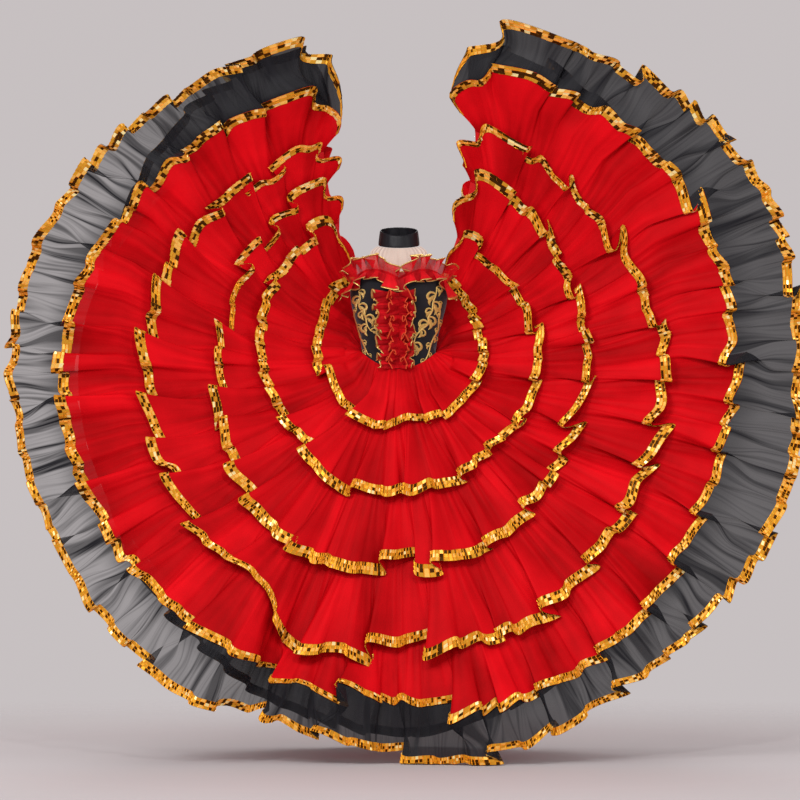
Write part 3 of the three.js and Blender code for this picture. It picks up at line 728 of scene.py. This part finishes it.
# Where each stem runs, as (x, z) on the bodice's front: a leaf and a scroll leave it at every point.
VINES = {
    "right": [(-.113, .200), (-.109, .182), (-.113, .160), (-.102, .142), (-.094, .126), (-.090, .106),
              (-.079, .088)],
    "right_edge": [(-.127, .150), (-.126, .128), (-.119, .104), (-.112, .080), (-.103, .058), (-.094, .036),
                   (-.086, .020)],
    "left": [(.106, .212), (.104, .190), (.096, .168), (.094, .146), (.083, .126), (.082, .108), (.064, .092),
             (.048, .074), (.042, .052), (.041, .030)],
    "left_edge": [(.112, .170), (.116, .142), (.112, .118), (.111, .094), (.100, .072), (.090, .050),
                  (.084, .026), (.074, .004)],
}
LEAF = {"right": 0.0155, "right_edge": 0.0075, "left": 0.0165, "left_edge": 0.0085}
WORKED_TO = 0.131                   # no stitch goes past this distance from the middle
STITCH_OFF, STITCH_HIGH = 0.0012, 0.0016
STEM_WIDE, STEM_SWELLS, STEM_STEPS = 0.0026, 0.0024, 64
RIBBON_LONG, RIBBON_WIDE = 0.05, 0.005


def smooth_line(knots, steps):
    """A smooth path through a stem's points."""
    knots = np.array(knots)
    place = np.linspace(0, len(knots) - 1, steps)
    rows = {"angle": np.arange(len(knots), dtype=float), "x": knots[:, 0], "z": knots[:, 1]}
    return np.stack([read(rows, "x", place), read(rows, "z", place)], -1)


def stitched_ribbon(sheet, path, width):
    """Adds a flat ribbon of stitches along a path of (x, z) on the bodice's front, thicker at its middle."""
    ribbon, u, w = flat_grid(len(path) - 1, 4)
    at = np.rint(u * (len(path) - 1)).astype(int)
    heading = np.gradient(path, axis=0)
    heading /= np.linalg.norm(heading, axis=1, keepdims=True) + 1e-9
    aside = np.stack([-heading[:, 1], heading[:, 0]], -1)
    spot = path[at] + aside[at] * ((w - 0.5) * width[at])[:, None]
    z = spot[:, 1]
    turn = np.degrees(np.arcsin(np.clip(spot[:, 0] / read(BODICE, "width", z), -0.999, 0.999)))
    lift = STITCH_OFF + STITCH_HIGH * (1 - (2 * w - 1) ** 2)
    moved(ribbon, bodice_point(turn, z) + bodice_facing(turn, z) * lift[:, None])
    data = bpy.data.meshes.new("ribbon")
    ribbon.to_mesh(data)
    ribbon.free()
    sheet.from_mesh(data)
    bpy.data.meshes.remove(data)
    return np.stack([u * RIBBON_LONG, w * RIBBON_WIDE], -1)


def scroll_path(x, z, size, start, hand):
    """A scroll that winds in once round its centre."""
    t = np.linspace(0, 1, 22)
    reach = size * (1 - 0.84 * t)
    turn = start + hand * t * 2 * math.pi * 1.08
    width = size * (0.10 + 0.44 * np.sin(math.pi * np.clip(0.10 + 0.80 * t, 0, 1)) ** 0.8)
    return np.stack([x + reach * np.cos(turn), z + reach * np.sin(turn)], -1), width


def leaf_path(x, z, size, heading, hand):
    """A pointed leaf that leaves the stem to one side and bends back to it."""
    t = np.linspace(0, 1, 14)
    out, on = size * 0.85 * np.sin(0.75 * math.pi * t) * hand, size * 2.0 * t
    width = size * 0.6 * np.sin(math.pi * np.clip(0.04 + 0.94 * t, 0, 1)) ** 0.9
    path = np.stack([x + on * math.cos(heading) - out * math.sin(heading),
                     z + on * math.sin(heading) + out * math.cos(heading)], -1)
    path[:, 0] = np.clip(path[:, 0], -WORKED_TO, WORKED_TO)
    return path, width


for side_name in ("right", "left"):
    sheet, flats = bmesh.new(), []
    for vine in (side_name, side_name + "_edge"):
        knots = VINES[vine]
        stem = smooth_line(knots, STEM_STEPS)
        swell = STEM_WIDE + STEM_SWELLS * np.sin(np.linspace(0, math.pi, STEM_STEPS))
        flats.append(stitched_ribbon(sheet, stem, swell))
        for k, (x, z) in enumerate(knots):
            hand = 1 if k % 2 else -1
            size = LEAF[vine] * (1.0 if k % 3 else 0.75)
            ahead = np.array(knots[min(k + 1, len(knots) - 1)]) - np.array(knots[max(k - 1, 0)])
            heading = math.atan2(ahead[1], ahead[0])
            start = heading + hand * 2.2
            centre = np.array([x, z]) - size * 0.9 * np.array([math.cos(start), math.sin(start)])
            path, width = scroll_path(centre[0], centre[1], size * 0.9, start, hand)
            path[:, 0] = np.clip(path[:, 0], -WORKED_TO, WORKED_TO)
            flats.append(stitched_ribbon(sheet, path, width))
            flats.append(stitched_ribbon(sheet, *leaf_path(x, z, size, heading, -hand)))
    shown(f"scroll_embroidery_{side_name}", sheet, embroidery_finish,
          flats=tuple(np.concatenate(flats).T))

# Neck band
# An upright band of black satin round the neck, closed behind. The sheer yoke hangs from it.
NECK_WIDTH, NECK_DEPTH, NECK_BACK, NECK_FOOT, NECK_TOP, NECK_DIP = 0.058, 0.054, 0.008, 0.334, 0.376, 0.010
NECK_LEANS_IN = 0.005
BAND_HOLLOW = 0.007                 # its upper edge dips in front
BAND_WALL = 0.0022
BAND_AROUND, BAND_TALL = 0.36, 0.042
BAND_PULL, BAND_ROLL = 0.0006, 0.0008


def neck_point(turn, share):
    z = NECK_FOOT + (NECK_TOP - NECK_FOOT) * share - NECK_DIP * np.cos(np.radians(turn))
    z = z - BAND_HOLLOW * share * np.maximum(np.cos(np.radians(turn)), 0) ** 2
    less = NECK_LEANS_IN * share
    return ring(turn, NECK_WIDTH - less, NECK_DEPTH - less, z) + np.array([0, NECK_BACK, 0])


black_satin_finish = Finish("black satin", {"Roughness": 0.42, "Specular IOR Level": 0.18})
black_drift = black_satin_finish.noise(black_satin_finish.on_cloth(40, 8), 1.0, 3.0)
black_satin_finish.feed("Base Color", black_satin_finish.mixed(
    black_drift, (0.003, 0.003, 0.004, 1), (0.014, 0.013, 0.017, 1)))
black_satin_finish.raised(black_drift, 0.002, 0.7)

sheet, u, v = flat_grid(140, 14)
turn = 180 - 359.9 * u
pull = BAND_PULL * wander(u * BAND_AROUND, 0.03, 8) * np.sin(math.pi * v)
edge_roll = -BAND_ROLL * (np.abs(2 * v - 1) ** 8)
moved(sheet, neck_point(turn, v) + ring(turn, 1, 1, 0) * (pull + edge_roll)[:, None])
band = shown("satin_neck_band", sheet, black_satin_finish, "neck_band",
             flats=(u * BAND_AROUND, v * BAND_TALL))
wall = band.modifiers.new("wall", "SOLIDIFY")
wall.thickness, wall.offset = BAND_WALL, 0.0

# Sheer yoke
# Skin-toned stretch mesh in a halter shape, gathered at the neck band's sides and sewn inside the neckline.
YOKE_FOOT, YOKE_TOP = 50, 72        # how far round its foot and its top reach, to each side
YOKE_TUCK, YOKE_INSIDE, YOKE_UNDER = 0.006, 0.0031, 0.0009
YOKE_ARCH, YOKE_HOLLOW, YOKE_SPREAD = 0.007, 0.004, 0.2
YOKE_FOLDS, FOLDS_DEEP = 95, 0.0028
YOKE_PULLS, PULLS_DEEP = 41, 0.0012

mesh_finish = Finish("sheer mesh", {"Roughness": 0.6, "Sheen Weight": 0.3, "Specular IOR Level": 0.25})
mesh_shade = mesh_finish.noise(mesh_finish.on_cloth(30, 5), 1.0, 3.0)
# Painted shade: the kept fold value darkens the mesh's colour in the hollows of the gathers by the band's
# sides and lightens their crests; the noise varies the tone at random.
mesh_lit = (mesh_shade * 0.5 + mesh_finish.kept("fold") * 0.45 + 0.42).held()
mesh_finish.feed("Base Color", mesh_finish.mixed(mesh_lit, (0.42, 0.27, 0.21, 1), (0.80, 0.62, 0.50, 1)))
mesh_holes = mesh_finish.node("TexVoronoi", {"feature": "DISTANCE_TO_EDGE"}, {
    "Vector": mesh_finish.on_cloth(620, 620), "Scale": 1.0})
mesh_finish.feed("Alpha", (0.86 - (mesh_holes * 1.4).held() * 0.5).held())
mesh_finish.raised(mesh_shade, 0.003, 0.8)

sheet, u, v = flat_grid(110, 40)
aside = 2 * u - 1
low, high = aside * YOKE_FOOT, aside * YOKE_TOP
foot_z = neckline(low) - YOKE_TUCK
foot = bodice_point(low, foot_z) - bodice_facing(low, foot_z) * YOKE_INSIDE
top = neck_point(high, np.zeros_like(u)) - np.array([0, 0, YOKE_UNDER])
n = ring(low * 0.7 + high * 0.3, 1, 1, 0.6)
n /= np.linalg.norm(n, axis=-1, keepdims=True)
near = np.exp(-((np.abs(aside) - 0.75) / 0.3) ** 2)
gather = FOLDS_DEEP * near * np.sin(u * YOKE_FOLDS + 2 * v) + PULLS_DEEP * np.sin(u * YOKE_PULLS + 3 * v)
arch = np.sin(math.pi * v)
pull_in = -YOKE_HOLLOW * np.exp(-((1 - np.abs(aside)) / 0.06) ** 2) * arch
points = foot + (top - foot) * v[:, None] + n * ((YOKE_ARCH + gather) * arch + pull_in)[:, None]
points[:, 0] *= 1 + YOKE_SPREAD * np.exp(-((v - 0.84) / 0.22) ** 2) * aside ** 2
moved(sheet, points)
# the fold value is kept for the mesh's colour as painted shade of the gathers
yoke = shown("sheer_yoke", sheet, mesh_finish, "yoke", flats=(u * 0.2, v * 0.13),
             kept={"fold": near * np.sin(u * YOKE_FOLDS + 2 * v) * np.clip(1.3 * v, 0.2, 1)})

# Ruffles of the neckline and the front
# Strips of sheer red organza: two gathered into the neckline, one standing up and one falling over the
# velvet, and two on each side of the middle front seam. Their free edges have a fine gold braid, but for
# the two narrow ones, whose edges are rolled.
NECK_TURNS, NECK_LENGTH, NECK_FLUTE = 82, 0.46, 0.052
FRONT_TOP, FRONT_LONG = 0.196, 0.214
EDGE_FROM, EDGE_WIDE = 0.93, 0.09   # where the edge starts and its width, as shares of the strip's height
EDGE_WALL = 0.0016

ruffle_finish = Finish("sheer ruffle organza", {
    "Roughness": 0.45, "Sheen Weight": 0.12, "Sheen Tint": (1, 0.1, 0.1, 1),
    "Specular IOR Level": 0.2, "Specular Tint": (1, 0.3, 0.3, 1)})
ruffle_streak = ruffle_finish.noise(ruffle_finish.on_cloth(110, 9), 1.0, 3.0)
ruffle_crush = ruffle_finish.noise(ruffle_finish.on_cloth(38, 46), 1.0, 3.0)
# Painted shade: the kept flute value darkens the ruffles' colour in the hollows of their flutes and lightens
# the crests; streak and crush noise vary the tone at random.
ruffle_tone_and_flute_shade = (ruffle_streak * 0.5 + ruffle_crush * 0.7 + ruffle_finish.kept("flute") * 0.3 - 0.1).held()
ruffle_finish.feed("Base Color", ruffle_finish.mixed(
    ruffle_tone_and_flute_shade, (0.26, 0.001, 0.003, 1), (0.80, 0.010, 0.018, 1)))
ruffle_finish.feed("Alpha", (ruffle_streak * 0.4 + 0.68).held(0.78, 1.0))
ruffle_finish.raised(ruffle_streak * 0.4 + ruffle_crush, 0.007, 1.0)
edge_finish = Finish("fine gold edge", {"Roughness": 0.3, "Metallic": 0.85})
edge_grain = edge_finish.noise(edge_finish.node("TexCoord", {}, {}, out=3), 900.0)
edge_finish.feed("Base Color", edge_finish.mixed(edge_grain, (0.5, 0.25, 0.03, 1), (1.0, 0.75, 0.28, 1)))
edge_finish.raised(edge_grain, 0.0006, 0.8)
rolled_finish = Finish("rolled organza edge", {"Roughness": 0.4, "Specular Tint": (1, 0.4, 0.3, 1)})
rolled_grain = rolled_finish.noise(rolled_finish.on_cloth(300, 900), 1.0)
rolled_finish.feed("Base Color", rolled_finish.mixed(
    rolled_grain, (0.55, 0.01, 0.01, 1), (0.95, 0.16, 0.05, 1)))
rolled_finish.raised(rolled_grain, 0.0004, 0.6)


def neck_ruffle(below, rise, out, seed, near, middle, ends):
    """A ruffle sewn this far below the neckline, and how much of its height it has at the middle and ends."""
    def place(u, v):
        turn = (2 * u - 1) * NECK_TURNS
        z = neckline(turn) - below
        length = u * NECK_LENGTH
        phase = 2 * math.pi * length / NECK_FLUTE + 1.1 * wander(length, 0.19, seed)
        strong = np.clip(0.9 + 0.5 * wander(length, 0.16, seed + 1), 0.4, 1.4)
        turned = turn + 9.0 * np.sin(2 * phase) * strong * v * 0.62
        away = near + np.maximum(0, out * v + 0.011 * v * np.cos(phase) * strong)
        shape = 1 + (middle - 1) * np.exp(-(turn / 11) ** 2) + (ends - 1) * eased(np.abs(turn), 42, 72)
        tall = rise * v * (0.9 + 0.28 * wander(length, 0.11, seed + 2)) * shape
        tall += 0.006 * v * np.sin(phase) * strong
        base = bodice_point(turned, z) + bodice_facing(turned, z) * away[:, None]
        base[:, 2] += tall
        # the second value, the flute's cosine, is painted shade in the ruffle's colour
        return base, np.cos(phase)
    return place


def front_ruffle(sideways, seam_x, width, lean, seed, near, flutes, flare):
    """A ruffle sewn down the front at seam_x, which leans forward off the velvet by an angle."""
    def place(u, v):
        z = FRONT_TOP - FRONT_LONG * u
        turn = sideways * np.degrees(np.arcsin(seam_x / read(BODICE, "width", z)))
        tip = math.radians(lean)
        phase = 2 * math.pi * u * flutes + 2.2 * wander(u, 0.36, seed) + 1.3 * v * wander(u, 0.17, seed + 3)
        strong = np.clip(0.8 + 0.8 * wander(u, 0.27, seed + 1), 0.15, 1.6)
        uneven = 1 + 0.2 * wander(u, 0.23, seed + 2) + 0.16 * np.sin(phase + 0.6) * strong
        reach = width * v * (1 - 0.2 * u) * uneven
        sway = 0.6 * flare * np.sin(2 * phase) * strong * v
        flap = flare * np.cos(phase) * strong * v
        along = np.array([sideways * math.cos(tip), -math.sin(tip), 0])
        n = np.array([-sideways * math.sin(tip), -math.cos(tip), 0])
        base = bodice_point(turn, z) - np.array([0, near, 0])
        base = base + along * reach[:, None] + n * flap[:, None]
        base[:, 2] += sway + 0.004 * v * np.sin(phase + 1)
        # the second value, the flute's cosine, is painted shade in the ruffle's colour
        return base, np.cos(phase)
    return place


# For each: its form, its cells round, its height, and the length that its weave is laid out over.
SMALL_RUFFLES = {
    "neckline_ruffle_upper": (neck_ruffle(0.0075, 0.039, 0.024, 61, 0.0038, 0.5, 0.85), 520, 0.05, 0.56),
    "neckline_ruffle_lower": (neck_ruffle(0.0055, -0.036, 0.026, 71, 0.0024, 1.5, 1.6), 520, 0.045, 0.56),
    "front_ruffle_wide_right": (front_ruffle(-1, 0.010, 0.062, 26, 81, 0.0027, 6.3, 0.012), 300, 0.048, 0.32),
    "front_ruffle_wide_left": (front_ruffle(1, 0.009, 0.041, 30, 91, 0.0027, 6.9, 0.011), 300, 0.038, 0.32),
    "front_ruffle_narrow_right": (
        front_ruffle(-1, -0.0008, 0.040, 46, 101, 0.0036, 6.1, 0.016), 300, 0.032, 0.32),
    "front_ruffle_narrow_left": (
        front_ruffle(1, -0.0008, 0.037, 50, 111, 0.0027, 5.7, 0.015), 300, 0.031, 0.32),
}
for name, (place, across, tall, long) in SMALL_RUFFLES.items():
    sheet, u, v = flat_grid(across, 10)
    # flute is kept for the ruffle's colour as painted shade
    points, flute = place(u, v)
    moved(sheet, points)
    piece = shown(f"organza_{name}", sheet, ruffle_finish, name,
                  flats=(u * long, v * tall), kept={"flute": flute})
    edge, u, w = flat_grid(across, 2)
    moved(edge, place(u, EDGE_FROM + EDGE_WIDE * w)[0])
    narrow = "narrow" in name
    gold_edge = shown(f"rolled_edge_{name}" if narrow else f"gold_edge_{name}", edge,
                      rolled_finish if narrow else edge_finish,
                      flats=(u * long, w * 0.003))
    wall = gold_edge.modifiers.new("wall", "SOLIDIFY")
    wall.thickness, wall.offset = EDGE_WALL, 0.0
    along_row = np.linspace(0, 1, across + 1)
    cut = flared_cut(place(along_row, 0 * along_row + 1)[0], place(along_row, 0 * along_row)[0], tall)[1]
